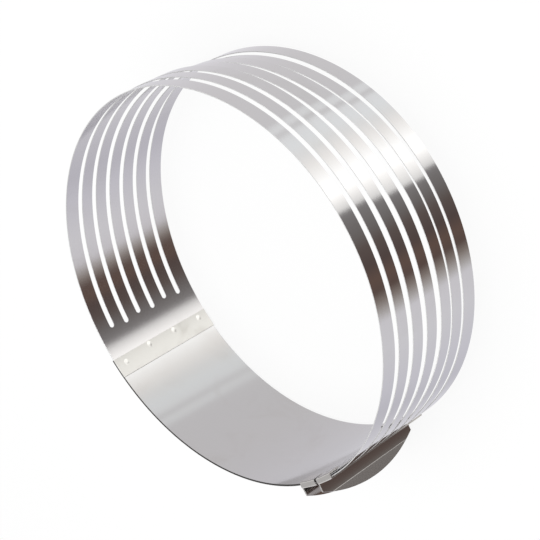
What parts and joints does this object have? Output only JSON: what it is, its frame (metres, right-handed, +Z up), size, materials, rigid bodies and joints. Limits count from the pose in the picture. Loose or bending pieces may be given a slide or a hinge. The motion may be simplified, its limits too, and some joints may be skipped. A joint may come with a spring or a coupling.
{
  "type": "adjustable cake frame",
  "caption": "Round spring-steel cake ring with knife slots round most of its wall, and hooked clips with finger wings that slide along its plain band to set its size.",
  "frame": {"origin": "centre of the footprint, on the surface that the frame stands on", "axes": "+Z up along the ring axis, -Y towards the clips, +X to the right seen from the clips' side"},
  "size_m": [0.2604, 0.277, 0.0874],
  "materials": {
    "band_steel": "bright rolled stainless steel, finely brushed along the band",
    "clip_steel": "polished stainless steel sheet, folded",
    "weld_steel": "spot-welded steel, slightly dull"
  },
  "bodies": {
    "ring": {"slotted_band": "band_steel", "solid_band": "band_steel", "end_clip": "clip_steel", "seam_weld_1": "weld_steel", "seam_weld_2": "weld_steel", "seam_weld_3": "weld_steel", "seam_weld_4": "weld_steel", "end_clip_weld_1": "weld_steel", "end_clip_weld_2": "weld_steel", "end_clip_weld_3": "weld_steel", "end_clip_weld_4": "weld_steel"},
    "slider": {"sliding_clip": "clip_steel", "sliding_clip_weld_1": "weld_steel", "sliding_clip_weld_2": "weld_steel", "sliding_clip_weld_3": "weld_steel", "sliding_clip_weld_4": "weld_steel"}
  },
  "joints": [
    {"name": "size_slide", "type": "hinge", "parent": "ring", "child": "slider", "pos_m": [-0.00056, 0.00882, 0], "axis": [0, 0, -1], "range_deg": [0, 72.5], "deforming": ["slotted_band"]}
  ]
}
